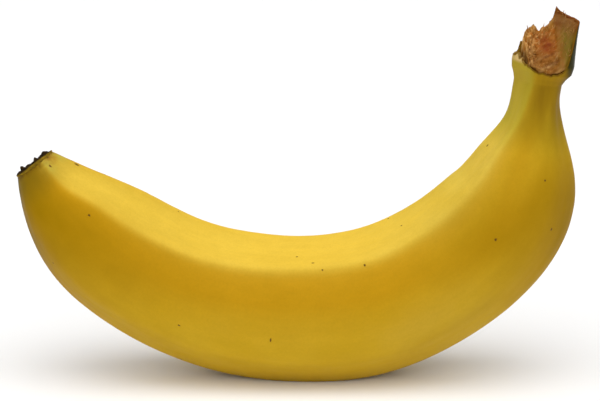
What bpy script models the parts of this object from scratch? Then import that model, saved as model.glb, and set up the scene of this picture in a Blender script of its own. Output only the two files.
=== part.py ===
"""A ripe banana, resting on its outer curve with both ends turned up.

The fruit grew as one piece, so it is one closed solid: the five-sided body, the neck, the torn stub of
the crown on top of the neck, and the withered flower end at the other tip.

Run it with blender --background --python part.py, or from the text editor. Blender's unit is the metre.
Sizes below are in millimetres and degrees. X runs from the flower end to the neck, Y away from the side
that is best finished, Z up. The origin is on the resting plane, under the middle of the fruit's box.
"""

import math

import bmesh
import bpy
import numpy as np

MM = 0.001

# The centre line and the girth, from the flower end to the foot of the crown. Each row is a section: its
# centre X, Y and Z, its depth from inner to outer curve, its width from side to side, how sharp its ridges
# are (the power of the facet blend), and how far the ridges have turned about the centre line.
SECTIONS = (
    (-69.0, 1.4, 59.0, 10.8, 10.6, 4.0, 14.0),
    (-64.6, 1.1, 52.8, 19.0, 17.6, 5.0, 15.0),
    (-60.2, 0.8, 47.1, 25.4, 23.2, 6.0, 15.0),
    (-53.9, 0.4, 40.4, 31.0, 28.2, 8.0, 14.0),
    (-43.9, 0.0, 32.7, 34.0, 31.2, 10.0, 11.0),
    (-31.6, -0.3, 25.8, 35.2, 32.8, 10.0, 10.0),
    (-15.0, -0.5, 20.8, 36.4, 34.2, 10.0, 9.0),
    (2.0, -0.5, 19.2, 37.2, 34.8, 10.0, 8.0),
    (18.0, -0.3, 21.1, 37.4, 34.8, 10.0, 7.0),
    (33.1, 0.0, 27.4, 36.6, 33.8, 10.0, 5.0),
    (46.7, 0.3, 37.5, 35.4, 32.0, 9.0, 4.0),
    (55.3, 0.6, 48.7, 32.4, 29.4, 8.0, 5.0),
    (58.9, 0.9, 60.6, 24.6, 23.2, 7.0, 11.0),
    (60.4, 1.2, 70.4, 15.2, 15.6, 6.0, 19.0),
    (60.9, 1.5, 77.2, 12.4, 13.0, 5.0, 24.0),
    (61.35, 1.7, 80.9, 12.4, 12.8, 4.5, 25.0),
)

# The facets of a section: where each faces, measured from the inner curve towards -Y, and its distance
# from the centre, as a share. The one at 0 is the flat inner side, between the two sharpest ridges.
FACETS = (
    (0.0, 0.77),
    (64.0, 1.0),
    (102.0, 1.1),
    (140.0, 1.0),
    (180.0, 1.08),
    (220.0, 1.0),
    (258.0, 1.1),
    (296.0, 1.0),
)

AROUND = 48
RINGS_ALONG_BODY = 58

# The resting spot, where the soft skin is pressed flat.
PRESSED_DEPTH = 0.9

# The crown's stub, measured along the neck from its foot: height, and the girth there as a share of the
# last section's, on the inner side and on the outer side, where the swelling is abrupt.
CROWN_WALL = (
    (0.0, 1.0, 1.0),
    (1.5, 1.06, 1.13),
    (3.0, 1.16, 1.34),
    (5.0, 1.20, 1.40),
    (8.0, 1.16, 1.37),
    (12.0, 1.14, 1.34),
    (19.0, 1.12, 1.34),
)
WHOLE_WALL_RINGS = (1.0, 2.0, 3.2)
TORN_WALL_RINGS = 3

# How high the tear stands, by the angle round the neck: the outer skin, then the core inside it.
TEAR = (
    (0.0, 6.2, 9.6),
    (12.0, 6.3, 8.8),
    (25.0, 6.6, 8.2),
    (41.0, 6.9, 7.9),
    (60.0, 6.8, 7.5),
    (68.0, 6.3, 7.0),
    (80.0, 5.5, 6.4),
    (92.0, 5.2, 6.0),
    (106.0, 5.0, 5.8),
    (120.0, 4.4, 5.6),
    (131.0, 4.5, 5.8),
    (144.0, 4.9, 6.6),
    (150.0, 6.7, 7.6),
    (156.0, 8.0, 8.8),
    (164.0, 9.6, 10.2),
    (167.0, 12.5, 11.6),
    (171.0, 15.4, 13.4),
    (178.0, 16.5, 14.8),
    (198.0, 17.2, 15.8),
    (226.0, 17.2, 16.2),
    (240.0, 18.2, 17.0),
    (250.0, 19.4, 17.6),
    (254.0, 17.0, 16.0),
    (257.0, 14.8, 14.4),
    (263.0, 12.7, 12.8),
    (272.0, 11.6, 12.0),
    (283.0, 11.7, 12.2),
    (293.0, 12.9, 12.8),
    (303.0, 11.8, 13.0),
    (309.0, 8.8, 13.0),
    (317.0, 6.9, 12.9),
    (328.0, 6.4, 12.8),
    (339.0, 6.2, 12.2),
    (349.0, 6.2, 10.6),
)

# The core starts this far out, as a share of the skin's girth: the skin has come away on the inner side.
CORE_INNER_SHARE = 0.72
CORE_OUTER_SHARE = 0.88
LEDGE_STEP = 0.05
CORE_RINGS = (1.0, 0.84, 0.64, 0.44, 0.24)
CORE_HOLLOW = 3.0
LUMP_HEIGHT = 0.35
LUMPS_INWARDS, LUMPS_SIDEWAYS, LUMPS_SLANT = 9.0, 8.0, 5.0

# The withered flower end: a dry collar of stumps round a sunken scar.
# Each ring of it is a share of the end's girth and a share of the stumps' height.
STUMPS = 9
STUMP_LOW = 0.3
STUMP_HIGH = 1.3
STUMP_SHIFT = 0.8
SCAR_RINGS = ((1.02, 0.45), (0.94, 1.0), (0.80, 0.9), (0.62, 0.35), (0.36, 0.25))
SCAR_CENTRE = 0.9

SKIN_COLOUR = (0.78, 0.47, 0.02, 1.0)
TORN_COLOUR = (0.42, 0.17, 0.04, 1.0)
WITHERED_COLOUR = (0.035, 0.022, 0.016, 1.0)


def smooth_through(rows, count):
    """count points on a natural cubic spline through the rows, evenly spaced along the centre line."""
    knots = np.array(rows, float)
    steps = np.linalg.norm(np.diff(knots[:, :3], axis=0), axis=1)
    at = np.concatenate([[0.0], np.cumsum(steps)])
    size = len(at)
    system = np.zeros((size, size))
    pull = np.zeros((size, knots.shape[1]))
    system[0, 0] = system[-1, -1] = 1.0
    for i in range(1, size - 1):
        before, after = steps[i - 1], steps[i]
        system[i, i - 1 : i + 2] = before, 2 * (before + after), after
        pull[i] = 6 * ((knots[i + 1] - knots[i]) / after - (knots[i] - knots[i - 1]) / before)
    bend = np.linalg.solve(system, pull)
    wanted = np.linspace(0.0, at[-1], count)
    found = []
    for s in wanted:
        i = min(int(np.searchsorted(at, s, side="right")) - 1, size - 2)
        h = steps[i]
        a, b = (at[i + 1] - s) / h, (s - at[i]) / h
        curve = (a**3 - a) * bend[i] + (b**3 - b) * bend[i + 1]
        found.append(a * knots[i] + b * knots[i + 1] + curve * h * h / 6)
    return np.array(found)


def section_outline(power, turn):
    """Points of a rounded five-sided section, as (inwards, sideways), scaled to run from -1 to 1."""
    angle = np.radians(np.arange(AROUND) * 360.0 / AROUND)
    total = np.zeros(AROUND)
    for facing, distance in FACETS:
        towards = np.cos(angle - math.radians(facing + turn))
        total += np.maximum(towards / distance, 0.0) ** power
    reach = total ** (-1.0 / power)
    outline = np.column_stack([reach * np.cos(angle), reach * np.sin(angle)])
    low, high = outline.min(axis=0), outline.max(axis=0)
    return (outline - (low + high) / 2) / ((high - low) / 2)


def table_at(angle, table, column):
    """The table's value at an angle in degrees, joined by straight lines and closed at 360."""
    angles = [row[0] for row in table] + [360.0]
    values = [row[column] for row in table] + [table[0][column]]
    return np.interp(angle % 360.0, angles, values)


class Frame:
    """A section's place: its centre, and the directions towards the inner curve, the side and ahead."""

    def __init__(self, centre, ahead):
        self.centre = centre
        self.ahead = ahead / np.linalg.norm(ahead)
        self.inwards = np.cross([0.0, -1.0, 0.0], self.ahead)
        self.inwards /= np.linalg.norm(self.inwards)
        self.side = np.cross(self.ahead, self.inwards)

    def ring(self, outline, depth, width, ahead=0.0):
        """The outline at this place, with each point moved ahead by its own amount."""
        inwards = np.outer(outline[:, 0] * depth / 2, self.inwards)
        sideways = np.outer(outline[:, 1] * width / 2, self.side)
        forward = np.outer(np.broadcast_to(ahead, len(outline)), self.ahead)
        return self.centre + inwards + sideways + forward


def body_rings():
    """Rings from the flower end to the foot of the crown, with the frame and the outline of each."""
    rows = smooth_through(SECTIONS, RINGS_ALONG_BODY)
    ahead = np.gradient(rows[:, :3], axis=0)
    frames = [Frame(row[:3], step) for row, step in zip(rows, ahead)]
    outlines = [section_outline(power, turn) for power, turn in rows[:, 5:]]
    rings = [f.ring(o, *girth) for f, o, girth in zip(frames, outlines, rows[:, 3:5])]
    return rings, frames, outlines


def crown_rings(frame, outline):
    """Rings up the crown's side to the torn skin's edge, then in over the torn face, and its middle."""
    depth, width = SECTIONS[-1][3:5]
    angles = np.degrees(np.arctan2(outline[:, 1], outline[:, 0]))
    skin = table_at(angles, TEAR, 1)
    core = table_at(angles, TEAR, 2)
    outer = (1.0 - np.cos(np.radians(angles))) / 2
    heights, inner_share, outer_share = zip(*CROWN_WALL)

    def share_at(up):
        inner = np.interp(up, heights, inner_share)
        return inner + (np.interp(up, heights, outer_share) - inner) * outer

    whole = WHOLE_WALL_RINGS[-1]
    ups = [np.full(AROUND, up) for up in WHOLE_WALL_RINGS]
    ups += [whole + (skin - whole) * i / TORN_WALL_RINGS for i in range(1, TORN_WALL_RINGS + 1)]
    wall = [frame.ring(outline * share_at(up)[:, None], depth, width, up) for up in ups]
    edge = outline * share_at(skin)[:, None]
    core_share = CORE_OUTER_SHARE - (CORE_OUTER_SHARE - CORE_INNER_SHARE) * (1.0 - outer) ** 3
    face = [frame.ring(edge * (core_share + LEDGE_STEP)[:, None], depth, width, skin)]
    waves = np.fft.rfft(core)
    for ring in CORE_RINGS:
        calmed = np.fft.irfft(waves * ring ** np.arange(len(waves)), AROUND)
        across = edge * (core_share * ring)[:, None]
        inwards, sideways = across.T
        lumps = np.sin(LUMPS_INWARDS * inwards) * np.cos(LUMPS_SIDEWAYS * sideways + LUMPS_SLANT * inwards)
        up = calmed - CORE_HOLLOW * (1.0 - ring**2) + LUMP_HEIGHT * lumps
        face.append(frame.ring(across, depth, width, up))
    middle = frame.centre + frame.ahead * (core.mean() - CORE_HOLLOW)
    return wall, face, middle


def scar_rings(frame, outline):
    """Rings of the withered flower end, from its outer edge in to the middle of the scar."""
    depth, width = SECTIONS[0][3:5]
    angles = np.arctan2(outline[:, 1], outline[:, 0])
    wave = np.abs(np.cos(STUMPS * angles / 2 + STUMP_SHIFT * np.sin(2 * angles)))
    uneven = 0.75 + 0.25 * np.sin(3 * angles + 1.0)
    stump = STUMP_LOW + (STUMP_HIGH - STUMP_LOW) * wave * uneven
    rings = [frame.ring(outline * share, depth, width, -stump * height) for share, height in SCAR_RINGS]
    return rings, frame.centre - frame.ahead * SCAR_CENTRE


def material(name, colour, roughness):
    made = bpy.data.materials.new(name)
    made.use_nodes = True
    shader = made.node_tree.nodes["Principled BSDF"]
    shader.inputs["Base Color"].default_value = colour
    shader.inputs["Roughness"].default_value = roughness
    shader.inputs["Metallic"].default_value = 0.0
    made.diffuse_color = colour
    return made


def add_ring(mesh, points):
    return [mesh.verts.new(point * MM) for point in points]


def join_rings(mesh, first, second, slot):
    for i in range(len(first)):
        j = (i + 1) % len(first)
        mesh.faces.new((first[i], first[j], second[j], second[i])).material_index = slot


def close_ring(mesh, ring, middle, slot, ahead):
    tip = mesh.verts.new(middle * MM)
    for i in range(len(ring)):
        j = (i + 1) % len(ring)
        corners = (ring[i], ring[j], tip) if ahead else (ring[j], ring[i], tip)
        mesh.faces.new(corners).material_index = slot


def press_flat(mesh):
    """Cuts the lowest part of the outer curve off level, as the fruit's own weight presses it."""
    level = min(vertex.co.z for vertex in mesh.verts) + PRESSED_DEPTH * MM
    parts = mesh.verts[:] + mesh.edges[:] + mesh.faces[:]
    cut = bmesh.ops.bisect_plane(
        mesh, geom=parts, dist=1e-7, plane_co=(0, 0, level), plane_no=(0, 0, -1), clear_outer=True
    )
    edges = [item for item in cut["geom_cut"] if isinstance(item, bmesh.types.BMEdge)]
    bmesh.ops.contextual_create(mesh, geom=edges)


def build_banana():
    body, frames, outlines = body_rings()
    scar, scar_middle = scar_rings(frames[0], outlines[0])
    wall, face, face_middle = crown_rings(frames[-1], outlines[-1])

    mesh = bmesh.new()
    runs = [(1, scar[::-1]), (0, body + wall), (2, face)]
    rings = [(slot, add_ring(mesh, points)) for slot, run in runs for points in run]
    close_ring(mesh, rings[0][1], scar_middle, 1, ahead=False)
    for (slot, first), (next_slot, second) in zip(rings, rings[1:]):
        join_rings(mesh, first, second, max(slot, next_slot))
    close_ring(mesh, rings[-1][1], face_middle, 2, ahead=True)
    bmesh.ops.recalc_face_normals(mesh, faces=mesh.faces[:])
    press_flat(mesh)

    corners = np.array([vertex.co for vertex in mesh.verts])
    low, high = corners.min(axis=0), corners.max(axis=0)
    middle = (low + high) / 2
    bmesh.ops.translate(mesh, verts=mesh.verts[:], vec=(-middle[0], -middle[1], -low[2]))

    data = bpy.data.meshes.new("banana")
    mesh.to_mesh(data)
    mesh.free()
    data.shade_smooth()
    data.set_sharp_from_angle(angle=math.radians(50))
    banana = bpy.data.objects.new("banana", data)
    bpy.context.scene.collection.objects.link(banana)
    data.materials.append(material("banana_skin", SKIN_COLOUR, 0.45))
    data.materials.append(material("withered_flower_end", WITHERED_COLOUR, 0.8))
    data.materials.append(material("torn_crown", TORN_COLOUR, 0.75))
    return banana


for old in list(bpy.data.objects):
    bpy.data.objects.remove(old)
build_banana()
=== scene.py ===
import math

import bpy
import numpy as np
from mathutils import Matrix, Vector


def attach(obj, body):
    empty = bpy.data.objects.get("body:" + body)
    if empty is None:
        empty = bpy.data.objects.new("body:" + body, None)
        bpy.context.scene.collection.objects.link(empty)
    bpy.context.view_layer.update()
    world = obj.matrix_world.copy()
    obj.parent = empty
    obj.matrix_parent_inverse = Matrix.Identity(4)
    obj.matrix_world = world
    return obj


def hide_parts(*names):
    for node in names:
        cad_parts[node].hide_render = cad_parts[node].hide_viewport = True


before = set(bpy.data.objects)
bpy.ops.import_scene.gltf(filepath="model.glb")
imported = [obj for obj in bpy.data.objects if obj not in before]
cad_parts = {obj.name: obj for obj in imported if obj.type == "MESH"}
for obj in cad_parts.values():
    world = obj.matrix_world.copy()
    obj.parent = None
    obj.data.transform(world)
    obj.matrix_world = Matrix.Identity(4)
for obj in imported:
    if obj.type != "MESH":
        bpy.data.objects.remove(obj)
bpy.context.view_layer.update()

# The peel. A leathery skin with a thin natural wax on it, ripe yellow all over and still greenish at the
# two ends, where it is fibrous. It grew in one piece round the flesh, in five facets with blunt ridges, and
# the fruit's weight presses it flat where it rests.

MM = 0.001

# Sections along the fruit: centre X, Y and Z, depth from inner to outer curve, width across, how sharp the
# ridges are, and how far they have turned, in millimetres and degrees.
SECTIONS = (
    (-69.0, 1.4, 59.0, 10.8, 10.6, 5.0, 19.0),
    (-64.6, 1.1, 52.8, 19.0, 17.6, 9.0, 24.0),
    (-60.2, 0.8, 47.1, 25.4, 23.2, 12.0, 17.5),
    (-53.9, 0.4, 40.4, 31.0, 28.2, 16.0, 14.5),
    (-43.9, 0.0, 32.7, 34.0, 31.2, 18.0, 12.5),
    (-31.6, -0.3, 25.8, 35.2, 32.8, 18.0, 9.5),
    (-15.0, -0.5, 20.8, 36.4, 34.2, 18.0, 7.0),
    (2.0, -0.5, 19.2, 37.2, 34.8, 17.0, 5.0),
    (18.0, -0.3, 21.1, 37.4, 34.8, 14.0, 5.4),
    (33.1, 0.0, 27.4, 36.6, 33.8, 12.0, 5.8),
    (46.7, 0.3, 37.5, 35.4, 32.0, 11.0, 5.6),
    (55.3, 0.6, 48.7, 32.4, 29.4, 12.0, 6.5),
    (58.9, 0.9, 60.6, 24.6, 23.2, 14.0, 8.0),
    (60.4, 1.2, 70.4, 15.2, 15.6, 14.0, 13.0),
    (60.9, 1.5, 77.2, 12.4, 13.0, 11.0, 25.0),
    (61.35, 1.7, 80.9, 12.4, 12.8, 8.0, 31.0),
)

# How far these are moved, so that the fruit rests on the floor with its middle over the origin.
RESTING_PLACE = np.array([1.002, 0.401, -1.495])

# The section's faces: the angle from the inner side that each one looks towards, and how far out it lies.
FACETS = (
    (0.0, 0.77),
    (64.0, 1.0),
    (102.0, 1.1),
    (140.0, 1.0),
    (180.0, 1.08),
    (220.0, 1.0),
    (258.0, 1.1),
    (296.0, 1.0),
)
SKIN_RINGS = 250
SKIN_AROUND = 192

# The swollen foot of the crown, by the height up the neck: its girth as a share of the neck's, on the inner
# side and on the outer side.
CROWN_WALL = (
    (0.0, 1.0, 1.0),
    (1.5, 1.06, 1.13),
    (3.0, 1.16, 1.34),
    (5.0, 1.20, 1.40),
    (8.0, 1.16, 1.37),
    (12.0, 1.14, 1.34),
    (19.0, 1.12, 1.34),
)

# How high the wall is whole all round, in millimetres, and its rows of points below that and above it.
WHOLE_WALL = 2.4
WHOLE_WALL_RINGS = 7
TORN_WALL_RINGS = 24

# How high the tear stands in millimetres, by the angle from the neck's inner side towards the front: the
# skin's edge, then the core's.
TEAR = (
    (0.0, 6.2, 9.2),
    (8.0, 6.9, 8.8),
    (14.0, 5.9, 8.0),
    (20.0, 5.6, 7.2),
    (25.0, 6.0, 6.8),
    (31.0, 4.9, 6.4),
    (45.0, 4.6, 5.8),
    (58.0, 4.4, 5.3),
    (70.0, 3.9, 4.7),
    (77.0, 3.6, 4.3),
    (85.0, 3.35, 4.0),
    (96.0, 3.15, 3.8),
    (106.0, 3.1, 3.8),
    (114.0, 3.25, 3.9),
    (121.0, 3.55, 4.1),
    (127.0, 4.1, 4.5),
    (133.0, 4.9, 5.1),
    (137.0, 6.0, 6.1),
    (141.0, 7.5, 7.4),
    (145.0, 9.2, 9.0),
    (150.0, 11.0, 10.8),
    (155.0, 13.6, 13.4),
    (158.0, 15.6, 15.4),
    (162.0, 16.3, 16.1),
    (180.0, 16.7, 16.5),
    (198.0, 16.9, 16.6),
    (215.0, 17.1, 16.8),
    (226.0, 17.4, 17.1),
    (240.0, 18.0, 17.7),
    (249.7, 18.95, 18.6),
    (252.0, 16.6, 16.3),
    (254.0, 15.5, 15.2),
    (257.5, 15.1, 14.8),
    (261.4, 14.1, 13.9),
    (264.5, 12.9, 12.8),
    (269.0, 13.4, 13.1),
    (273.0, 12.1, 12.1),
    (279.0, 11.7, 11.9),
    (284.0, 12.2, 12.1),
    (290.5, 13.5, 13.1),
    (295.0, 12.8, 12.8),
    (303.0, 11.8, 12.9),
    (309.0, 8.0, 12.9),
    (315.0, 6.9, 12.8),
    (319.0, 9.2, 12.6),
    (323.0, 6.6, 12.4),
    (339.0, 6.2, 11.6),
    (349.0, 6.1, 10.2),
)
SKIN_THICKNESS = 1.1

# How ripe it looks, by the angle from the inner side: orange and gold at the middle of the fruit, then orange
# and gold near its ends. The deep gold that darkens the sides and the underside is partly a riper tone and
# partly painted shade. Then how much the ends' colours and that shade show, by the share of the way along.
RIPE_ROUND = (
    (0.0, 0.0, 0.0, 0.0, 0.0),
    (22.0, 0.0, 0.06, 0.0, 0.12),
    (35.0, 0.05, 0.04, 0.10, 0.16),
    (43.0, 0.80, 0.10, 0.90, 0.34),
    (50.0, 0.88, 0.16, 1.0, 0.44),
    (63.0, 0.88, 0.28, 1.0, 0.62),
    (78.0, 0.50, 0.25, 1.0, 0.74),
    (92.0, 0.30, 0.23, 1.0, 0.84),
    (106.0, 0.15, 0.37, 0.9, 0.86),
    (122.0, 0.0, 0.55, 0.9, 0.90),
    (137.0, 0.10, 0.50, 0.9, 0.97),
    (150.0, 0.10, 0.47, 0.8, 1.1),
    (180.0, 0.0, 0.50, 0.5, 1.1),
)
ENDS_ALONG = (
    (0.0, 1.0),
    (0.10, 1.0),
    (0.14, 0.80),
    (0.20, 0.45),
    (0.27, 0.16),
    (0.35, 0.0),
    (0.52, 0.0),
    (0.64, 0.08),
    (0.70, 0.32),
    (0.77, 0.72),
    (0.81, 0.68),
    (0.86, 0.25),
    (0.90, 0.12),
    (0.95, 0.45),
    (1.0, 0.70),
)
SKIN_RAGGED = 0.22
CALMER_OUTSIDE = 0.75

# The lip of the torn skin. Its rows over the edge: how far in, as a share of the skin's thickness, and how
# far up from the edge in millimetres. Then how far up from the edge the rows of its inner face are.
LIP_OVER = ((0.35, 0.12), (0.8, -0.05))
LIP_INSIDE = (-0.5, -1.6)


def smooth_through(rows, count):
    """count points on a natural cubic spline through the rows, evenly spaced along the centre line."""
    knots = np.array(rows, float)
    steps = np.linalg.norm(np.diff(knots[:, :3], axis=0), axis=1)
    at = np.concatenate([[0.0], np.cumsum(steps)])
    size = len(at)
    system = np.zeros((size, size))
    pull = np.zeros((size, knots.shape[1]))
    system[0, 0] = system[-1, -1] = 1.0
    for i in range(1, size - 1):
        before, after = steps[i - 1], steps[i]
        system[i, i - 1 : i + 2] = before, 2 * (before + after), after
        pull[i] = 6 * ((knots[i + 1] - knots[i]) / after - (knots[i] - knots[i - 1]) / before)
    bend = np.linalg.solve(system, pull)
    along = np.linspace(0.0, at[-1], count)
    i = np.clip(np.searchsorted(at, along, side="right") - 1, 0, size - 2)
    h = steps[i][:, None]
    a = (at[i + 1] - along)[:, None] / h
    b = 1.0 - a
    curve = (a**3 - a) * bend[i] + (b**3 - b) * bend[i + 1]
    return along, a * knots[i] + b * knots[i + 1] + curve * h * h / 6


def section_outline(power, turn, around):
    """Points of a rounded five-sided section, as (inwards, sideways), scaled to run from -1 to 1."""
    angle = np.radians(np.arange(around) * 360.0 / around)
    total = np.zeros(around)
    for facing, distance in FACETS:
        towards = np.cos(angle - math.radians(facing + turn))
        total += np.maximum(towards / distance, 0.0) ** power
    reach = total ** (-1.0 / power)
    outline = np.column_stack([reach * np.cos(angle), reach * np.sin(angle)])
    low, high = outline.min(axis=0), outline.max(axis=0)
    return (outline - (low + high) / 2) / ((high - low) / 2)


def table_at(angle, table, column):
    """The table's value at an angle in degrees, joined by straight lines and closed at 360."""
    angles = [row[0] for row in table] + [360.0]
    values = [row[column] for row in table] + [table[0][column]]
    return np.interp(angle % 360.0, angles, values)


def uneven(dice, shape, lumps):
    """A smooth random sheet from -1 to 1, that closes on itself round the fruit."""
    knots = dice.uniform(-1.0, 1.0, (lumps[0] + 2, lumps[1]))
    down = np.linspace(0.0, lumps[0], shape[0])
    round_ = np.arange(shape[1]) * lumps[1] / shape[1]
    i, j = down.astype(int), round_.astype(int)
    t, u = (down - i)[:, None], (round_ - j)[None, :]
    t, u = t * t * (3 - 2 * t), u * u * (3 - 2 * u)
    upper = knots[i][:, j] * (1 - u) + knots[i][:, (j + 1) % lumps[1]] * u
    lower = knots[i + 1][:, j] * (1 - u) + knots[i + 1][:, (j + 1) % lumps[1]] * u
    return upper * (1 - t) + lower * t


def new_piece(name, points, faces):
    """A piece with its points in millimetres."""
    mesh = bpy.data.meshes.new(name)
    mesh.from_pydata((np.array(points) * MM).tolist(), [], faces)
    piece = bpy.data.objects.new(name, mesh)
    bpy.context.scene.collection.objects.link(piece)
    return piece


def ring_mesh(name, rings, tip=None):
    """A skin over rings of points in millimetres, closed by a tip at its last ring."""
    count, around = rings.shape[:2]
    points = [rings.reshape(-1, 3)]
    row = np.arange(around)
    ahead = np.roll(row, -1)
    faces = []
    for i in range(count - 1):
        here, there = i * around, (i + 1) * around
        faces += np.column_stack([here + row, here + ahead, there + ahead, there + row]).tolist()
    if tip is not None:
        last = (count - 1) * around
        faces += [(last + a, last + b, count * around) for a, b in zip(row.tolist(), ahead.tolist())]
        points.append(np.reshape(tip, (1, 3)))
    piece = new_piece(name, np.concatenate(points), faces)
    piece.data.shade_smooth()
    return piece


def mark(piece, name, values):
    """Keeps a number, or three, with each point of a piece, for its material."""
    values = np.asarray(values, np.float32)
    kind, field = ("FLOAT_VECTOR", "vector") if values.ndim == 2 else ("FLOAT", "value")
    held = piece.data.attributes.new(name, kind, "POINT")
    held.data.foreach_set(field, values.ravel())


def step_up(value, low, high):
    """0 below low, 1 above high, and a smooth rise between them."""
    t = np.clip((value - low) / (high - low), 0.0, 1.0)
    return t * t * (3 - 2 * t)


def degrees_apart(first, second):
    """The angle between two directions round the fruit, from 0 to 180 degrees."""
    return np.abs((first - second + 180.0) % 360.0 - 180.0)


def zone(first, second, middle, spread):
    """1 in the middle of a soft zone, fading out from it, by two measures of where each point is."""
    return np.exp(-(((first - middle[0]) / spread[0]) ** 2) - ((second - middle[1]) / spread[1]) ** 2)


along, rows = smooth_through(SECTIONS, SKIN_RINGS)
centres = rows[:, :3] + RESTING_PLACE
ahead = np.gradient(centres, axis=0)
ahead /= np.linalg.norm(ahead, axis=1)[:, None]
inwards = np.cross([0.0, -1.0, 0.0], ahead)
inwards /= np.linalg.norm(inwards, axis=1)[:, None]
sideways = np.cross(ahead, inwards)
depths, widths = rows[:, 3], rows[:, 4]
outlines = np.array([section_outline(power, turn, SKIN_AROUND) for power, turn in rows[:, 5:]])
degrees = np.degrees(np.arctan2(outlines[:, :, 1], outlines[:, :, 0])) % 360.0
length = along[-1]

# The skin isn't quite even: it swells and dips a little, and near the ends fine ribs run lengthwise.
dice = np.random.default_rng(11)
SWELLS, SWELL_HEIGHT = (11, 7), 0.13
DIMPLES, DIMPLE_HEIGHT = (60, 26), 0.02
RIBS, RIB_HEIGHT = 31, 0.05
near_crown = step_up(along, length - 34.0, length - 4.0)
near_flower = 1.0 - step_up(along, 3.0, 26.0)
ribs = uneven(dice, (SKIN_RINGS, SKIN_AROUND), (5, RIBS)) * (near_crown + near_flower)[:, None]
swell = SWELL_HEIGHT * uneven(dice, (SKIN_RINGS, SKIN_AROUND), SWELLS)
swell += DIMPLE_HEIGHT * uneven(dice, (SKIN_RINGS, SKIN_AROUND), DIMPLES)
swell += RIB_HEIGHT * ribs
swell *= step_up(along, 0.0, 3.0)[:, None] * (1.0 - step_up(along, length - 3.0, length))[:, None]
reach = np.sqrt((outlines[:, :, 0] * depths[:, None]) ** 2 + (outlines[:, :, 1] * widths[:, None]) ** 2) / 2
grown = 1.0 + swell / reach
inward_part = outlines[:, :, 0] * depths[:, None] / 2 * grown
sideways_part = outlines[:, :, 1] * widths[:, None] / 2 * grown
body = centres[:, None] + inward_part[:, :, None] * inwards[:, None]
body += sideways_part[:, :, None] * sideways[:, None]
body[:, :, 2] = np.maximum(body[:, :, 2], 0.0)

# The neck ends in the swollen foot of the crown, torn open: the skin's edge is ragged and dried brown.
neck, neck_ahead, neck_outline = centres[-1], ahead[-1], outlines[-1]
neck_degrees = degrees[-1]
outer_side = (1.0 - np.cos(np.radians(neck_degrees))) / 2


def share_at(up):
    """The girth at a height up the crown, as a share of the neck's, for each point round it."""
    heights, inner_share, outer_share = zip(*CROWN_WALL)
    inner = np.interp(up, heights, inner_share)
    return inner + (np.interp(up, heights, outer_share) - inner) * outer_side


def crown_ring(share, up):
    """Points round the crown at a share of the neck's girth and a height up it."""
    share = np.broadcast_to(share, SKIN_AROUND)[:, None]
    up = np.broadcast_to(up, SKIN_AROUND)[:, None]
    across = neck_outline * share * [depths[-1] / 2, widths[-1] / 2]
    return neck + across[:, :1] * inwards[-1] + across[:, 1:] * sideways[-1] + up * neck_ahead


ragged = SKIN_RAGGED * uneven(dice, (2, SKIN_AROUND), (1, 64))[0]
ragged += 0.5 * SKIN_RAGGED * uneven(dice, (2, SKIN_AROUND), (1, 96))[0]
calmed = step_up(neck_degrees, 120.0, 150.0) * (1.0 - step_up(neck_degrees, 245.0, 252.0))
ragged *= 1.0 - CALMER_OUTSIDE * calmed
skin_edge = table_at(neck_degrees, TEAR, 1) + ragged
heights_up = [np.full(SKIN_AROUND, WHOLE_WALL * i / WHOLE_WALL_RINGS) for i in range(1, WHOLE_WALL_RINGS + 1)]
heights_up += [
    WHOLE_WALL + (skin_edge - WHOLE_WALL) * i / TORN_WALL_RINGS for i in range(1, TORN_WALL_RINGS + 1)
]
wall = [crown_ring(share_at(up), up) for up in heights_up]
inner_step = SKIN_THICKNESS * (1.0 - 0.5 * outer_side) / (depths[-1] / 2 * share_at(skin_edge))
edge_share = share_at(skin_edge)
lip = [crown_ring(edge_share * (1.0 - part * inner_step), skin_edge + up) for part, up in LIP_OVER]
for up in LIP_INSIDE:
    widest = np.minimum(edge_share, share_at(skin_edge + up))
    lip.append(crown_ring(widest * (1.0 - inner_step), skin_edge + up))

peel = ring_mesh("peel", np.concatenate([body, wall, lip]))

# What the material needs to know of each point: where it would be on a straightened fruit, how ripe it is
# there and how much painted sheen, painted light and painted shade it carries, and how green, tawny, torn or
# withered it is there.
WALL_WIDER = 1.2
WELL_BELOW = 99.0
wall_up = np.concatenate([heights_up, [skin_edge] * len(lip)])
straight = np.zeros((SKIN_RINGS + len(wall_up), SKIN_AROUND, 3))
straight[:SKIN_RINGS, :, 0] = along[:, None]
straight[SKIN_RINGS:, :, 0] = length + wall_up
straight[:SKIN_RINGS, :, 1] = inward_part
straight[:SKIN_RINGS, :, 2] = sideways_part
straight[SKIN_RINGS:, :, 1] = inward_part[-1] * WALL_WIDER
straight[SKIN_RINGS:, :, 2] = sideways_part[-1] * WALL_WIDER
mark(peel, "straightened", straight.reshape(-1, 3) * MM)

station = straight[:, :, 0]
past_neck = station - length
part_way = station / length
turned = np.concatenate([degrees, np.tile(neck_degrees, (len(wall_up), 1))])
turns = np.append(rows[:, 6], np.full(len(wall_up), rows[-1, 6]))[:, None]
from_inner = degrees_apart(turned, turns)
inner_side = 1.0 - step_up(from_inner, 36.0, 50.0)
lower_down = step_up(from_inner, 72.0, 100.0)

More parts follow.
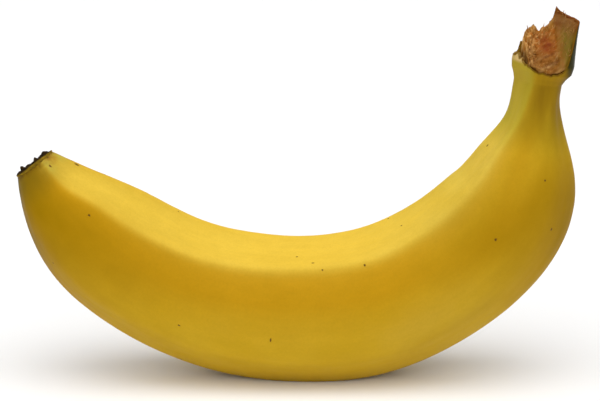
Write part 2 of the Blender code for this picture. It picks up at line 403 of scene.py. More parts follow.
reached = part_way + 0.05 * lower_down * np.where(part_way < 0.5, 1.0, -1.0)
near_ends = np.interp(reached, *zip(*ENDS_ALONG))
angles, orange_middle, gold_shade_middle, orange_ends, gold_shade_ends = zip(*RIPE_ROUND)
orange = np.interp(from_inner, angles, orange_middle) * (1.0 - near_ends)
orange += np.interp(from_inner, angles, orange_ends) * near_ends
orange *= 1.0 - 0.45 * step_up(part_way, 0.60, 0.80) * (1.0 - step_up(from_inner, 50.0, 80.0))
mark(peel, "orange", orange.ravel())
# Deep gold on the sides and underneath, more near the ends: partly a riper tone, partly painted shade.
gold_and_painted_shade = np.interp(from_inner, angles, gold_shade_middle) * (1.0 - near_ends)
gold_and_painted_shade += np.interp(from_inner, angles, gold_shade_ends) * near_ends
mark(peel, "gold_and_painted_shade", gold_and_painted_shade.ravel())
# A little paler all over. The extra paleness on the inner side near the crown, and low down in the middle, is
# painted light.
paler_and_painted_light = 0.15 + 0.55 * step_up(part_way, 0.52, 0.86) * inner_side
paler_and_painted_light += 0.25 * lower_down * step_up(part_way, 0.48, 0.60) * (1.0 - step_up(part_way, 0.66, 0.80))
mark(peel, "paler_and_painted_light", paler_and_painted_light.ravel())
# The inner side keeps a paler yellow with more blue in it, a painted sheen; the sides turn a richer yellow.
mark(peel, "less_painted_sheen", (0.65 * step_up(from_inner, 38.0, 60.0)).ravel())

# It is greenish towards the crown, olive-brown at the flower end, darker olive-brown on the outer side near
# both ends, which is painted shade, and tawny where the neck turns woody.
green = step_up(past_neck, -20.0, -8.0) * (0.17 + 0.26 * inner_side)
green += 0.06 * step_up(part_way, 0.55, 0.80) * inner_side
mark(peel, "green", green.ravel())
olive_and_painted_shade = 0.58 * (1.0 - step_up(station, 0.5, 10.0)) * (1.0 - 0.42 * inner_side)
# Painted shade: olive-brown on the outer side near the flower end and on the outer side of the neck.
olive_and_painted_shade += 0.50 * (1.0 - step_up(station, 6.0, 26.0)) * step_up(from_inner, 118.0, 150.0)
olive_and_painted_shade += 0.70 * step_up(past_neck, -15.0, -4.0) * step_up(from_inner, 94.0, 128.0)
mark(peel, "olive_and_painted_shade", olive_and_painted_shade.ravel())
tawny = step_up(past_neck, -19.0, -9.0) * (0.54 - 0.34 * inner_side)
tawny += 0.15 * step_up(past_neck, -9.0, 1.0)
tawny += 0.30 * step_up(past_neck, -12.0, -3.0) * step_up(from_inner, 42.0, 70.0)
mark(peel, "tawny", tawny.ravel())

# The crown's foot and rim are nearly black on the outer side, painted shade under the swollen foot and along
# the outer side of the rim; its torn edge is brown and its high top rusty, and the teeth that the tear left
# on the inner side are bare and pale.
TEETH_FACE = 18.0
below_edge = np.full(station.shape, WELL_BELOW)
below_edge[SKIN_RINGS:] = skin_edge - wall_up
below_edge[-len(lip) :] = 0.0
on_outside = np.ones(station.shape)
on_outside[-len(lip) :] = 0.0
to_outer_side = (1.0 - np.cos(np.radians(turned))) / 2
painted_foot_shade = step_up(past_neck, -2.0, 4.0) * step_up(to_outer_side, 0.78, 0.97) * on_outside
mark(peel, "painted_foot_shade", painted_foot_shade.ravel())
mark(peel, "torn", (1.0 - step_up(below_edge, 0.05, 0.45)).ravel())
mark(peel, "rusty", step_up(past_neck, 13.0, 16.5).ravel())
on_teeth = 1.0 - step_up(degrees_apart(turned, TEETH_FACE), 32.0, 55.0)
mark(peel, "bare_teeth", (on_teeth * step_up(past_neck, 4.3, 5.4)).ravel())
painted_rim_shade = step_up(turned, 128.0, 140.0) * (1.0 - 0.8 * step_up(turned, 195.0, 265.0))
mark(peel, "painted_rim_shade", (painted_rim_shade * on_outside * step_up(past_neck, 3.0, 6.0)).ravel())

# Round the flower end it has withered, with a brown blush and a pale green patch beside it.
BLUSH_FACE = 4.0
GREEN_PATCH_AT, GREEN_PATCH_SPREAD = (1.6, 31.0), (2.4, 17.0)
withered = 1.0 - step_up(station, 0.1, 1.3)
mark(peel, "withered", withered.ravel())
near_end = 1.0 - step_up(station, 0.8, 3.2)
mark(peel, "blushed", (near_end * (1.0 - step_up(np.abs(from_inner - BLUSH_FACE), 16.0, 34.0))).ravel())
mark(peel, "green_patch", zone(station, from_inner, GREEN_PATCH_AT, GREEN_PATCH_SPREAD).ravel())


def new_material(name):
    """A material with its node tree and its shader."""
    made = bpy.data.materials.new(name)
    made.use_nodes = True
    return made, made.node_tree, made.node_tree.nodes["Principled BSDF"]


def add_node(tree, kind, inputs=None, **settings):
    """A node with its settings, and its sockets set to a value or wired to another node's output."""
    made = tree.nodes.new("ShaderNode" + kind)
    for name, value in settings.items():
        setattr(made, name, value)
    for name, value in (inputs or {}).items():
        if isinstance(value, bpy.types.NodeSocket):
            tree.links.new(value, made.inputs[name])
        else:
            made.inputs[name].default_value = value
    return made


def kept(tree, name, output="Fac"):
    """What mark() kept with the points."""
    return add_node(tree, "Attribute", attribute_name=name).outputs[output]


def blend_colour(tree, amount, first, second):
    """The first colour, turned towards the second by an amount."""
    mix = add_node(tree, "Mix", data_type="RGBA")
    for socket, value in ((mix.inputs[0], amount), (mix.inputs[6], first), (mix.inputs[7], second)):
        if isinstance(value, bpy.types.NodeSocket):
            tree.links.new(value, socket)
        else:
            socket.default_value = value
    return mix.outputs[2]


def sum_up(tree, kind, first, second):
    """Two numbers put together in the way named, such as ADD or MULTIPLY."""
    maths = add_node(tree, "Math", {0: first, 1: second}, operation=kind)
    return maths.outputs[0]


def layered(tree, colour, layers):
    """The colour, turned towards each layer's colour in turn by that layer's amount."""
    for amount, towards in layers:
        colour = blend_colour(tree, amount, colour, towards)
    return colour


def rescaled(tree, value, start, end, low, high):
    """A number that runs from start to end, made to run from low to high."""
    span = {"Value": value, "From Min": start, "From Max": end, "To Min": low, "To Max": high}
    return add_node(tree, "MapRange", span).outputs[0]


def noise(tree, place, scale, detail=2.0, roughness=0.5):
    """Soft random lumps."""
    settings = {"Vector": place, "Scale": scale, "Detail": detail, "Roughness": roughness}
    return add_node(tree, "TexNoise", settings).outputs[0]


def patches(tree, place, scale, detail=3.0, roughness=0.5, low=0.0, high=1.0):
    """Soft random patches, with their middle values spread out between low and high."""
    return rescaled(tree, noise(tree, place, scale, detail, roughness), 0.3, 0.7, low, high)


def patchy(tree, name, place, scale, low, high):
    """What mark() kept with the points, made uneven by soft random patches."""
    return sum_up(tree, "MULTIPLY", kept(tree, name), patches(tree, place, scale, low=low, high=high))


def fine_relief(tree, shader, height, strength, distance):
    """Relief finer than the mesh, with its depth in metres."""
    bump = add_node(tree, "Bump", {"Height": height, "Strength": strength, "Distance": distance})
    tree.links.new(bump.outputs[0], shader.inputs["Normal"])


def stretched(tree, place, along_share):
    """A place with its lengthwise part made smaller, so that patches turn to streaks along the fruit."""
    return add_node(tree, "Mapping", {"Vector": place, "Scale": (along_share, 1.0, 1.0)}).outputs[0]


YELLOW_WITH_PAINTED_SHEEN = (0.86, 0.57, 0.056, 1.0)
RIPE_ORANGE = (0.82, 0.42, 0.012, 1.0)
DEEP_GOLD_AND_SHADE = (0.36, 0.20, 0.001, 1.0)
RICH_YELLOW = (0.86, 0.57, 0.010, 1.0)
PALE_YELLOW_AND_LIGHT = (0.92, 0.66, 0.100, 1.0)
UNRIPE_GREEN = (0.42, 0.43, 0.020, 1.0)
OLIVE_BROWN_AND_SHADE = (0.18, 0.125, 0.010, 1.0)
TAWNY = (0.34, 0.19, 0.008, 1.0)
BLACK_GREEN_AND_SHADE = (0.024, 0.024, 0.001, 1.0)
BARE_TOOTH = (0.80, 0.56, 0.22, 1.0)
OLIVE_TAN = (0.19, 0.125, 0.006, 1.0)
RUST = (0.20, 0.055, 0.011, 1.0)
WITHERED = (0.12, 0.055, 0.009, 1.0)
BLUSH_BROWN = (0.34, 0.13, 0.012, 1.0)
PALE_GREEN = (0.54, 0.46, 0.065, 1.0)

skin_material, tree, shader = new_material("ripe_banana_peel")
place = kept(tree, "straightened", "Vector")
long_place = stretched(tree, place, 0.8)
short_streaks = stretched(tree, place, 0.3)
long_streaks = stretched(tree, place, 0.2)
# The base yellow carries a painted sheen; towards the sides it turns to a richer yellow without it.
colour = blend_colour(tree, kept(tree, "less_painted_sheen"), YELLOW_WITH_PAINTED_SHEEN, RICH_YELLOW)
rind = blend_colour(tree, patches(tree, long_streaks, 1500.0, low=0.1, high=0.7), OLIVE_TAN, RUST)
rind = blend_colour(tree, kept(tree, "rusty"), rind, RUST)
torn = patchy(tree, "torn", place, 1500.0, 0.75, 1.1)
colour = layered(
    tree,
    colour,
    (
        # Paler yellow, partly painted light.
        (patchy(tree, "paler_and_painted_light", long_place, 70.0, 0.5, 1.5), PALE_YELLOW_AND_LIGHT),
        (kept(tree, "orange"), RIPE_ORANGE),
        # Deep gold, partly painted shade; the streaks, mottle and grain after it are the skin's own tone.
        (patchy(tree, "gold_and_painted_shade", long_place, 110.0, 0.9, 1.1), DEEP_GOLD_AND_SHADE),
        (patches(tree, stretched(tree, place, 0.12), 700.0, high=0.06), DEEP_GOLD_AND_SHADE),
        (patches(tree, long_place, 230.0, detail=8.0, roughness=0.7, high=0.13), DEEP_GOLD_AND_SHADE),
        (patches(tree, place, 1700.0, detail=4.0, low=-0.03, high=0.09), DEEP_GOLD_AND_SHADE),
        (patchy(tree, "green", short_streaks, 160.0, 0.8, 1.1), UNRIPE_GREEN),
        # Olive-brown: the flower end's own colour, and painted shade on the outer side near the ends.
        (patchy(tree, "olive_and_painted_shade", short_streaks, 300.0, 0.8, 1.2), OLIVE_BROWN_AND_SHADE),
        (patchy(tree, "tawny", long_streaks, 400.0, 0.75, 1.15), TAWNY),
        # Near black on the crown's outer foot: painted shade.
        (patchy(tree, "painted_foot_shade", place, 600.0, 0.8, 1.1), BLACK_GREEN_AND_SHADE),
        (patchy(tree, "bare_teeth", place, 900.0, 0.7, 1.1), BARE_TOOTH),
        (torn, rind),
        # Near black along the outer rim: painted shade.
        (patchy(tree, "painted_rim_shade", place, 900.0, 0.8, 1.1), BLACK_GREEN_AND_SHADE),
        (patchy(tree, "blushed", place, 600.0, 0.1, 0.9), BLUSH_BROWN),
        (patchy(tree, "green_patch", place, 500.0, 0.2, 0.8), PALE_GREEN),
        (patchy(tree, "withered", place, 700.0, -0.2, 1.0), WITHERED),
    ),
)
tree.links.new(colour, shader.inputs["Base Color"])
TORN_ROUGHNESS = 0.85
rough = patches(tree, short_streaks, 500.0, low=0.42, high=0.58)
rough = sum_up(tree, "MAXIMUM", rough, sum_up(tree, "MULTIPLY", torn, TORN_ROUGHNESS))
tree.links.new(rough, shader.inputs["Roughness"])
PORE_DEPTH = 0.35
pores = noise(tree, stretched(tree, place, 0.25), 2600.0)
waves = noise(tree, stretched(tree, place, 0.6), 420.0)
relief = sum_up(tree, "ADD", sum_up(tree, "MULTIPLY", pores, PORE_DEPTH), waves)
fine_relief(tree, shader, relief, 0.3, 0.00004)
shader.inputs["Specular IOR Level"].default_value = 0.04
shader.inputs["Specular Tint"].default_value = (1.0, 0.8, 0.3, 1.0)
peel.data.materials.append(skin_material)

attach(peel, "root")
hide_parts("banana")

# The torn face of the crown. The core of the stalk is a tough bundle of fibres, and it tore away from the
# bunch in steps, highest on its outer side. It has dried orange-brown, darker low down and paler on its inner
# side, with a smooth strip of the stalk's rind left along the outer side.

# The core's girth as a share of the crown's, on the inner side and on the outer side. Then how deep its
# middle is hollowed, how far its foot is sunk and how ragged its edge is, in millimetres.
CORE_INNER_SHARE = 0.72
CORE_OUTER_SHARE = 0.945
CORE_HOLLOW = 3.0
CORE_SUNK = 1.4
CORE_RAGGED = 0.35

# The rind's edge: how far it lies towards the inner side at the foot, how far it moves that way for each
# millimetre up, and how proud the rind stands.
RIND_ACROSS = -4.9
RIND_LEAN = 0.174
RIND_PROUD = 0.30

CORE_RINGS = 90
CORE_WALL_RINGS = 14
FIBRES, FIBRE_HEIGHT = (6, 64), 0.26
FINE_FIBRES, FINE_FIBRE_HEIGHT = (16, 96), 0.08
LUMPS, LUMP_HEIGHT = (12, 20), 0.34
SMALL_LUMPS, SMALL_LUMP_HEIGHT = (22, 34), 0.10

core_edge = table_at(neck_degrees, TEAR, 2) + CORE_RAGGED * uneven(dice, (2, SKIN_AROUND), (1, 48))[0]
core_share = CORE_OUTER_SHARE - (CORE_OUTER_SHARE - CORE_INNER_SHARE) * (1.0 - outer_side) ** 5
edge_ring_share = share_at(core_edge)
floor_up = np.minimum(table_at(neck_degrees, TEAR, 1), core_edge) - CORE_SUNK
core_rows, core_kept = [], []
for i in range(CORE_WALL_RINGS):
    t = i / CORE_WALL_RINGS
    up = floor_up + (core_edge - floor_up) * t
    core_rows.append(crown_ring(share_at(up) * core_share * (0.98 + 0.02 * t), up))
    core_kept.append(np.full(SKIN_AROUND, 1.0))
waves_round = np.fft.rfft(core_edge)
for i in range(CORE_RINGS):
    ring = 1.0 - i / CORE_RINGS
    calmed = np.fft.irfft(waves_round * ring ** np.arange(len(waves_round)), SKIN_AROUND)
    up = calmed - CORE_HOLLOW * (1.0 - ring**2)
    core_rows.append(crown_ring(edge_ring_share * core_share * ring, up))
    core_kept.append(np.full(SKIN_AROUND, ring))
core_rows = np.array(core_rows)
core_kept = np.array(core_kept)
core_tip = neck + neck_ahead * (core_edge.mean() - CORE_HOLLOW)

shape = core_rows.shape[:2]
ups = (core_rows - neck) @ neck_ahead
down_rows = np.gradient(core_rows, axis=0)
round_rows = np.roll(core_rows, -1, axis=1) - np.roll(core_rows, 1, axis=1)
normals = np.cross(round_rows, down_rows)
normals /= np.maximum(np.linalg.norm(normals, axis=2), 1e-9)[:, :, None]
fibrous = FIBRE_HEIGHT * uneven(dice, shape, FIBRES)
fibrous += FINE_FIBRE_HEIGHT * uneven(dice, shape, FINE_FIBRES)
lumpy = LUMP_HEIGHT * uneven(dice, shape, LUMPS)
lumpy += SMALL_LUMP_HEIGHT * uneven(dice, shape, SMALL_LUMPS)
in_rind = RIND_ACROSS + RIND_LEAN * ups - (core_rows - neck) @ inwards[-1]
rind_band = step_up(in_rind, -0.2, 0.8)
relief_in = (fibrous + lumpy) * (1.0 - 0.75 * rind_band) * step_up(core_kept, 0.05, 0.35)
relief_in *= 0.35 + 0.65 * step_up(core_kept, 0.0, 0.8)
relief_in += RIND_PROUD * rind_band * step_up(core_kept, 0.1, 0.5) * (1.0 - step_up(core_kept, 0.93, 1.0))
core_rows = core_rows + normals * relief_in[:, :, None]

core = ring_mesh("torn_core", core_rows, tip=core_tip)
flat_ups = np.append(ups.ravel(), (core_tip - neck) @ neck_ahead)
flat_across = np.append(((core_rows - neck) @ inwards[-1]).ravel(), 0.0)
flat_side = np.append(((core_rows - neck) @ sideways[-1]).ravel(), 0.0)
mark(core, "fibre_place", np.column_stack([flat_ups, flat_across, flat_side]) * MM)
mark(core, "relief_in", np.append(relief_in.ravel(), 0.0))
flat_rind = np.append(in_rind.ravel(), 0.0)
mark(core, "rind_band", step_up(flat_rind, -0.4, 0.9))
mark(core, "olive_band", step_up(flat_rind, 1.2, 2.6))
mark(core, "dark_edge", step_up(flat_rind, 3.3, 3.8) * (1.0 - step_up(flat_ups, 9.0, 13.0)))
mark(core, "left_side", step_up(flat_across, 1.0, 4.0))
mark(core, "low_down", 1.0 - step_up(flat_ups, 5.5, 9.0))
mark(core, "high_up", step_up(flat_ups, 11.5, 15.5))

# Where the core is reddened, where dark rifts run between its fibres and where pale ridges do, each as the
# middle of a zone and how far it spreads: across the core, then up it, in millimetres. The rifts' darkness is
# painted shade and the ridges' paleness painted highlight, of cracks and ridges that the mesh doesn't have.
REDDENED = ((-0.8, 9.4), (3.0, 3.4))
RIFTS = ((-2.0, 6.6), (2.6, 1.9))
RIDGE_HIGHLIGHTS = ((-2.0, 4.8), (3.6, 1.7))
RIFT_STEEPNESS = (3.2, 1.9)
RIDGES_PER_RIFT = 0.8
rift = RIFT_STEEPNESS[0] * flat_ups + RIFT_STEEPNESS[1] * flat_across
mark(core, "reddened", zone(flat_across, flat_ups, *REDDENED))
near_rift = zone(flat_across, flat_ups, *RIFTS)
mark(core, "painted_rift_shade", 0.75 * near_rift * np.maximum(np.sin(rift), 0.0) ** 2)
near_ridge = zone(flat_across, flat_ups, *RIDGE_HIGHLIGHTS)
mark(core, "painted_ridge_highlights", 0.55 * near_ridge * np.maximum(-np.sin(RIDGES_PER_RIFT * rift), 0.0) ** 2)

ORANGE_BROWN = (0.42, 0.128, 0.006, 1.0)
RED_BROWN = (0.24, 0.045, 0.002, 1.0)
TAN = (0.42, 0.190, 0.026, 1.0)
PALE_TAN_AND_HIGHLIGHT = (0.72, 0.43, 0.15, 1.0)
BAND_BROWN = (0.27, 0.088, 0.006, 1.0)
LOW_TAN = (0.21, 0.078, 0.006, 1.0)
RIFT_SHADE = (0.14, 0.036, 0.004, 1.0)

core_material, tree, shader = new_material("torn_stalk_core")
place = kept(tree, "fibre_place", "Vector")
strands = stretched(tree, place, 0.16)
colour = blend_colour(tree, patches(tree, strands, 700.0, low=-0.1, high=1.1), TAN, ORANGE_BROWN)
rind = blend_colour(tree, patches(tree, strands, 1300.0, low=0.0, high=0.6), BAND_BROWN, OLIVE_TAN)
rind = blend_colour(tree, patchy(tree, "olive_band", strands, 1100.0, 0.6, 1.2), rind, OLIVE_TAN)
rind = blend_colour(tree, sum_up(tree, "MULTIPLY", kept(tree, "high_up"), 0.7), rind, RUST)
# Painted shade in the hollows of the core's relief, and painted highlight on its crests.
painted_hollow_shade = rescaled(tree, kept(tree, "relief_in"), -0.6, -0.05, 0.3, 0.0)
painted_crest_highlight = rescaled(tree, kept(tree, "relief_in"), 0.2, 0.6, 0.0, 0.25)
colour = layered(
    tree,
    colour,
    (
        # Pale specks along the strands: painted highlights.
        (patches(tree, strands, 1500.0, low=-1.3, high=0.9), PALE_TAN_AND_HIGHLIGHT),
        (patchy(tree, "reddened", place, 500.0, 0.6, 1.2), RED_BROWN),
        (patchy(tree, "low_down", place, 420.0, 0.6, 1.0), LOW_TAN),
        (patchy(tree, "left_side", strands, 900.0, -0.7, 1.1), PALE_TAN_AND_HIGHLIGHT),
        (kept(tree, "rind_band"), rind),
        (kept(tree, "dark_edge"), BLACK_GREEN_AND_SHADE),
        # Dark rifts, painted shade; the pale ridges after them are painted highlight.
        (kept(tree, "painted_rift_shade"), RIFT_SHADE),
        (patchy(tree, "painted_ridge_highlights", place, 700.0, 0.3, 1.2), PALE_TAN_AND_HIGHLIGHT),
        (painted_hollow_shade, RIFT_SHADE),
        (painted_crest_highlight, PALE_TAN_AND_HIGHLIGHT),
    ),
)
tree.links.new(colour, shader.inputs["Base Color"])
tree.links.new(patches(tree, strands, 1500.0, low=0.55, high=0.9), shader.inputs["Roughness"])
fine_relief(tree, shader, noise(tree, strands, 2200.0, detail=3.0), 0.7, 0.00015)
shader.inputs["Specular IOR Level"].default_value = 0.12
core.data.materials.append(core_material)
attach(core, "root")
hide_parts("banana")

# Loose fibres of the tear: dry strands of the stalk, a few tenths of a millimetre thick, that pulled out of
# the core when the fruit was torn from its bunch. They are rooted in it still, and stand up along the
# broken edges.

STRANDS = 150
STRAND_SIDES = 5
STRAND_STEPS = 5
STRAND_LENGTHS = (0.5, 1.5)
STRAND_RADII = (0.08, 0.20)
STRAND_LEAN, STRAND_SPREAD, STRAND_CURL = 0.35, 0.16, 0.25
STRAND_ROOT = 0.3
STRAND_TAPER = 0.85
LOWEST_ROW, HIGHEST_ROW = CORE_WALL_RINGS - 4, CORE_WALL_RINGS + 40

strand_points, strand_faces, strand_shade = [], [], []
turn_round = np.arange(STRAND_SIDES) * 2 * np.pi / STRAND_SIDES
for _ in range(STRANDS):
    at_row = int(dice.integers(LOWEST_ROW, HIGHEST_ROW))
    at_angle = int(dice.integers(0, SKIN_AROUND))
    root = core_rows[at_row, at_angle]
    out = normals[at_row, at_angle]
    lean = neck_ahead + STRAND_LEAN * out + dice.normal(0.0, STRAND_SPREAD, 3)
    lean /= np.linalg.norm(lean)
    reach_up = dice.uniform(*STRAND_LENGTHS)
    thick = dice.uniform(*STRAND_RADII)
    cross = np.cross(lean, out)
    cross /= np.linalg.norm(cross)
    other = np.cross(lean, cross)
    curl = dice.normal(0.0, STRAND_CURL, 2)
    base = len(strand_points)
    shade = dice.uniform(0.0, 1.0)
    for step in range(STRAND_STEPS + 1):
        t = step / STRAND_STEPS
        middle = root - STRAND_ROOT * out + lean * reach_up * t + (cross * curl[0] + other * curl[1]) * t * t
        radius = thick * (1.0 - STRAND_TAPER * t)
        for angle in turn_round:
            strand_points.append(middle + radius * (np.cos(angle) * cross + np.sin(angle) * other))
            strand_shade.append(shade)
    for step in range(STRAND_STEPS):
        for side in range(STRAND_SIDES):
            a = base + step * STRAND_SIDES + side
            b = base + step * STRAND_SIDES + (side + 1) % STRAND_SIDES
            strand_faces.append((a, b, b + STRAND_SIDES, a + STRAND_SIDES))
    top = base + STRAND_STEPS * STRAND_SIDES
    strand_faces.append(tuple(top + side for side in range(STRAND_SIDES)))

fibres = new_piece("torn_fibres", strand_points, strand_faces)
fibres.data.shade_smooth()
mark(fibres, "strand_shade", strand_shade)
fibre_material, tree, shader = new_material("dry_stalk_fibre")
place = add_node(tree, "TexCoord").outputs["Object"]
colour = blend_colour(tree, kept(tree, "strand_shade"), RED_BROWN, TAN)
colour = blend_colour(tree, patches(tree, place, 1800.0, high=0.6), colour, PALE_TAN_AND_HIGHLIGHT)
tree.links.new(colour, shader.inputs["Base Color"])
tree.links.new(patches(tree, place, 1500.0, low=0.6, high=0.9), shader.inputs["Roughness"])
fine_relief(tree, shader, noise(tree, place, 4000.0), 0.4, 0.00005)
shader.inputs["Specular IOR Level"].default_value = 0.12
fibres.data.materials.append(fibre_material)
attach(fibres, "root")
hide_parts("banana")

# The withered flower end. The flower fell from here, and its dry black collar stands in a few worn stumps
# round a small woody scar. The skin's worn edge reaches a little way up it.

# How high the collar stands in millimetres, by the angle from the inner side towards the front.
COLLAR_HEIGHT = (
    (0.0, 0.75),
    (12.0, 1.4),
    (20.0, 1.8),
    (27.0, 1.6),
    (33.0, 0.85),
    (45.0, 0.9),
    (56.0, 1.05),
    (66.0, 2.1),
    (73.0, 1.5),
    (84.0, 1.0),
    (100.0, 0.95),
    (109.0, 1.3),
    (117.0, 2.1),
    (123.0, 1.3),
    (135.0, 0.5),
    (150.0, 0.55),
    (160.0, 0.8),
    (172.0, 0.35),
    (197.0, 0.6),
    (207.0, 0.35),
    (225.0, 0.3),
    (240.0, 0.6),
    (252.0, 0.3),
    (275.0, 0.3),
    (290.0, 0.65),
    (303.0, 0.3),
    (325.0, 0.25),
    (345.0, 0.35),
)

# From the skin's edge in to the middle of the scar: the share of the way, the girth as a share of the
# fruit's end, and the height as a share of the collar's.
SCAR_PROFILE = (
    (0.0, 1.0, -0.1),
    (0.06, 1.03, 0.25),
    (0.16, 1.01, 0.75),
    (0.3, 0.93, 1.0),
    (0.45, 0.80, 0.9),
    (0.62, 0.62, 0.35),
    (0.8, 0.36, 0.25),
    (1.0, 0.0, 0.3),
)
SCAR_RINGS = 44
SCAR_MIDDLE = 0.4
COLLAR_RAGGED = 0.08
CRUMBLES, CRUMBLE_HEIGHT = (9, 48), 0.16
CRUMBS, CRUMB_HEIGHT = (18, 90), 0.1

# How far up the collar the worn skin reaches, in millimetres, and how much farther on the front.
SKIN_REACH, SKIN_REACH_IN_FRONT = 0.2, 0.55
FRONT_FACE, FRONT_SPREAD = 70.0, 50.0

end_degrees = degrees[0]
stump = table_at(end_degrees, COLLAR_HEIGHT, 1)
stump += COLLAR_RAGGED * uneven(dice, (2, SKIN_AROUND), (1, 48))[0]
profile_at, profile_share, profile_up = zip(*SCAR_PROFILE)
scar_rows = []
for t in np.linspace(0.0, 1.0, SCAR_RINGS, endpoint=False):
    share = np.interp(t, profile_at, profile_share)
    up = np.interp(t, profile_at, profile_up) * stump
    across = outlines[0] * share * [depths[0] / 2, widths[0] / 2]
    scar_rows.append(
        centres[0] + across[:, :1] * inwards[0] + across[:, 1:] * sideways[0] - up[:, None] * ahead[0]
    )
scar_rows = np.array(scar_rows)[::-1]
shape = scar_rows.shape[:2]
crumble = CRUMBLE_HEIGHT * uneven(dice, shape, CRUMBLES)
crumble += CRUMB_HEIGHT * uneven(dice, shape, CRUMBS)
crumble *= step_up(np.arange(shape[0]), 2, 14)[:, None]
outward = scar_rows - centres[0]
outward /= np.linalg.norm(outward, axis=2)[:, :, None]
scar_rows = scar_rows + outward * crumble[:, :, None]
scar = ring_mesh("withered_flower_end", scar_rows[::-1], tip=centres[0] - ahead[0] * SCAR_MIDDLE)
scar.data.flip_normals()
mark(scar, "crumble", np.append(crumble[::-1].ravel(), 0.0))
how_far_in = np.repeat(np.linspace(0.0, 1.0, SCAR_RINGS), SKIN_AROUND)
mark(scar, "inside", np.append(how_far_in, 1.0))
stand = np.interp(how_far_in, profile_at, profile_up) * np.tile(stump, SCAR_RINGS)
in_front = np.exp(-(((end_degrees - FRONT_FACE) / FRONT_SPREAD) ** 2))
skin_reaches = np.tile(SKIN_REACH + SKIN_REACH_IN_FRONT * in_front, SCAR_RINGS)
edge_skin = (1.0 - step_up(stand - skin_reaches, 0.0, 0.25)) * (1.0 - step_up(how_far_in, 0.2, 0.34))
mark(scar, "edge_skin", np.append(edge_skin, 0.0))

CHARRED = (0.009, 0.006, 0.002, 1.0)
WITHERED_BROWN = (0.045, 0.021, 0.004, 1.0)
WOODY = (0.08, 0.042, 0.012, 1.0)
WORN_SKIN = (0.34, 0.21, 0.012, 1.0)

scar_material, tree, shader = new_material("withered_flower_collar")
place = add_node(tree, "TexCoord").outputs["Object"]
colour = blend_colour(tree, patches(tree, place, 1400.0, low=-0.3, high=0.8), CHARRED, WITHERED_BROWN)
colour = layered(
    tree,
    colour,
    (
        (rescaled(tree, kept(tree, "crumble"), -0.05, 0.2, 0.0, 0.7), WITHERED_BROWN),
        (patchy(tree, "inside", place, 2500.0, -0.4, 0.9), WOODY),
        (patchy(tree, "edge_skin", place, 900.0, 0.6, 1.1), WORN_SKIN),
    ),
)
tree.links.new(colour, shader.inputs["Base Color"])
tree.links.new(patches(tree, place, 1200.0, low=0.55, high=0.9), shader.inputs["Roughness"])
fine_relief(tree, shader, noise(tree, place, 3000.0, detail=4.0), 0.8, 0.0002)
shader.inputs["Specular IOR Level"].default_value = 0.06
scar.data.materials.append(scar_material)
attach(scar, "root")
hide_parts("banana")

# Freckles: small brown spots of a ripening peel, most of them where something rubbed it. Each is a dry film a
# few hundredths of a millimetre proud of the peel.

# Share of the way along, degrees round from the inner side, length and width in millimetres.
FRECKLES_IN_FRONT = (
    (0.450, 20.6, 0.50, 0.45),
    (0.478, 33.3, 0.60, 0.40),
    (0.494, 41.9, 0.40, 0.40),
    (0.574, 44.0, 0.45, 0.50),
    (0.418, 97.3, 0.35, 1.10),
    (0.293, 104.3, 0.60, 0.35),
    (0.896, 357.8, 0.70, 0.55),
    (0.663, 7.7, 0.45, 0.40),
    (0.775, 84.6, 0.65, 0.55),
    (0.819, 132.7, 0.75, 0.60),
    (0.876, 108.2, 0.50, 0.45),
    (0.012, 49.5, 0.75, 0.50),
    (0.100, 66.0, 0.60, 0.45),
    (0.036, 350.8, 1.10, 0.60),
    (0.076, 337.9, 0.60, 0.45),
    (0.116, 138.6, 0.50, 0.40),
)
FRECKLES_ELSEWHERE = 34
NOT_BELOW = 2.0
FRECKLE_SIDES = 12
FRECKLE_PROUD = 0.035
FRECKLE_RIM_SHARE = 0.6
FRECKLE_LENGTHS = (0.3, 0.75)
FRECKLE_SLIMNESS = (0.6, 1.0)
FRECKLES_ALONG = (0.05, 0.93)
FRECKLES_ROUND = (165.0, 345.0)
RAGGED_REACH = (0.45, 0.8)

freckles = list(FRECKLES_IN_FRONT)
for _ in range(FRECKLES_ELSEWHERE):
    size = dice.uniform(*FRECKLE_LENGTHS)
    place_along, place_round = dice.uniform(*FRECKLES_ALONG), dice.uniform(*FRECKLES_ROUND)
    freckles.append((place_along, place_round, size, size * dice.uniform(*FRECKLE_SLIMNESS)))
freckle_points, freckle_faces, freckle_depth = [], [], []
for share, round_to, freckle_long, freckle_wide in freckles:
    ring = int(round(share * (SKIN_RINGS - 1)))
    here = int(np.argmin(degrees_apart(degrees[ring], round_to)))
    if body[ring, here, 2] < NOT_BELOW:
        continue
    along_skin = body[ring + 1, here] - body[ring - 1, here]
    round_skin = body[ring, (here + 1) % SKIN_AROUND] - body[ring, here - 1]
    outward = np.cross(round_skin, along_skin)
    outward *= np.sign(outward @ (body[ring, here] - centres[ring])) / np.linalg.norm(outward)
    along_skin /= np.linalg.norm(along_skin)
    round_skin = np.cross(outward, along_skin)
    base = len(freckle_points)
    freckle_points.append(body[ring, here] + FRECKLE_PROUD * outward)
    freckle_depth.append(1.0)
    for side in range(FRECKLE_SIDES):
        angle = 2 * np.pi * side / FRECKLE_SIDES
        uneven_reach = dice.uniform(*RAGGED_REACH)
        offset = np.cos(angle) * freckle_long * along_skin + np.sin(angle) * freckle_wide * round_skin
        rim = uneven_reach * offset + FRECKLE_RIM_SHARE * FRECKLE_PROUD * outward
        freckle_points.append(body[ring, here] + rim)
        freckle_depth.append(0.0)
        freckle_faces.append((base, base + 1 + side, base + 1 + (side + 1) % FRECKLE_SIDES))

spots = new_piece("freckles", freckle_points, freckle_faces)
mark(spots, "spot_depth", freckle_depth)

FRECKLE_BROWN = (0.12, 0.045, 0.004, 1.0)
FRECKLE_RIM = (0.33, 0.17, 0.012, 1.0)

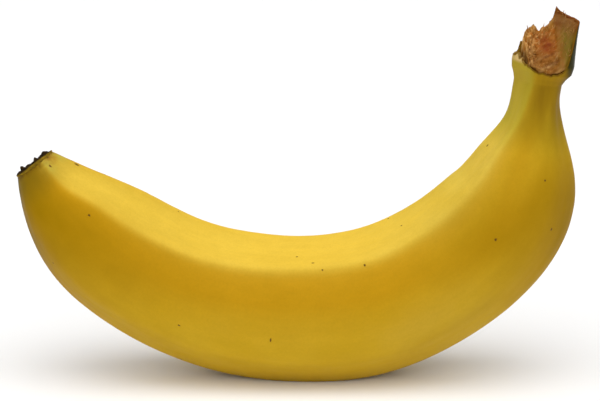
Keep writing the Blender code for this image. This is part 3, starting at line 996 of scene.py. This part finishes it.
spot_material, tree, shader = new_material("brown_freckles")
place = add_node(tree, "TexCoord").outputs["Object"]
dark = patchy(tree, "spot_depth", place, 2500.0, 1.2, 2.2)
tree.links.new(blend_colour(tree, dark, FRECKLE_RIM, FRECKLE_BROWN), shader.inputs["Base Color"])
tree.links.new(patches(tree, place, 2000.0, low=0.5, high=0.8), shader.inputs["Roughness"])
fine_relief(tree, shader, noise(tree, place, 5000.0), 0.4, 0.00003)
shader.inputs["Specular IOR Level"].default_value = 0.1
spots.data.materials.append(spot_material)
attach(spots, "root")
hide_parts("banana")

# The studio: a white floor, one softbox straight overhead that lights the fruit, three that light only the
# floor and give its soft shadow, and a camera that looks slightly down at the fruit's side.

REACH = 12000.0
floor_corners = ((-REACH, -REACH, 0), (REACH, -REACH, 0), (REACH, REACH, 0), (-REACH, REACH, 0))
floor = new_piece("floor", floor_corners, [(0, 1, 2, 3)])
floor_material, tree, shader = new_material("white_studio_floor")
shader.inputs["Base Color"].default_value = (0.88, 0.88, 0.88, 1.0)
shader.inputs["Roughness"].default_value = 0.9
shader.inputs["Specular IOR Level"].default_value = 0.1
floor.data.materials.append(floor_material)

VIEW_CENTRE = Vector((0.0010, 0.0004, 0.0482))
VIEW_DISTANCE = 0.70
VIEW_RISE = math.radians(15.0)
VIEW_WIDTH = 0.156
SENSOR = 36.0

camera_data = bpy.data.cameras.new("camera")
camera_data.sensor_fit = "HORIZONTAL"
camera_data.sensor_width = SENSOR
camera_data.lens = SENSOR * VIEW_DISTANCE / VIEW_WIDTH
camera_data.clip_start = 0.01
camera_data.clip_end = 100.0
camera = bpy.data.objects.new("camera", camera_data)
bpy.context.scene.collection.objects.link(camera)
camera.location = VIEW_CENTRE + VIEW_DISTANCE * Vector((0.0, -math.cos(VIEW_RISE), math.sin(VIEW_RISE)))
camera.rotation_euler = (VIEW_CENTRE - camera.location).to_track_quat("-Z", "Y").to_euler()
bpy.context.scene.camera = camera

LIGHT_DISTANCE = 4.0


def softbox(name, size, power, lean, lit):
    """A square light overhead, leant towards the camera by an angle, that lights only the given pieces."""
    data = bpy.data.lights.new(name, "AREA")
    data.shape = "SQUARE"
    data.size = size
    data.energy = power
    box = bpy.data.objects.new(name, data)
    bpy.context.scene.collection.objects.link(box)
    box.location = LIGHT_DISTANCE * Vector((0.0, -math.sin(lean), math.cos(lean)))
    box.rotation_euler = (-box.location).to_track_quat("-Z", "Y").to_euler()
    receivers = bpy.data.collections.new(name + "_lights")
    for piece in lit:
        receivers.objects.link(piece)
    box.light_linking.receiver_collection = receivers


softbox("overhead_softbox", 6.6, 332.0, math.radians(0.0), [peel, core, fibres, scar, spots])
softbox("floor_key_light", 3.0, 37.0, math.radians(12.0), [floor])
softbox("floor_front_light", 8.0, 233.0, math.radians(40.0), [floor])
softbox("floor_wide_light", 14.0, 440.0, math.radians(15.0), [floor])

ROOM_LIGHT = 0.03
world = bpy.data.worlds.new("white_room")
bpy.context.scene.world = world
world.use_nodes = True
room = world.node_tree.nodes["Background"]
room.inputs["Color"].default_value = (1.0, 1.0, 1.0, 1.0)
seen = world.node_tree.nodes.new("ShaderNodeLightPath")
level = world.node_tree.nodes.new("ShaderNodeMapRange")
level.inputs["To Min"].default_value = ROOM_LIGHT
level.inputs["To Max"].default_value = 1.0
world.node_tree.links.new(seen.outputs["Is Camera Ray"], level.inputs["Value"])
world.node_tree.links.new(level.outputs[0], room.inputs["Strength"])

bpy.context.scene.view_settings.view_transform = "Standard"
bpy.context.scene.view_settings.look = "None"

bpy.context.view_layer.update()
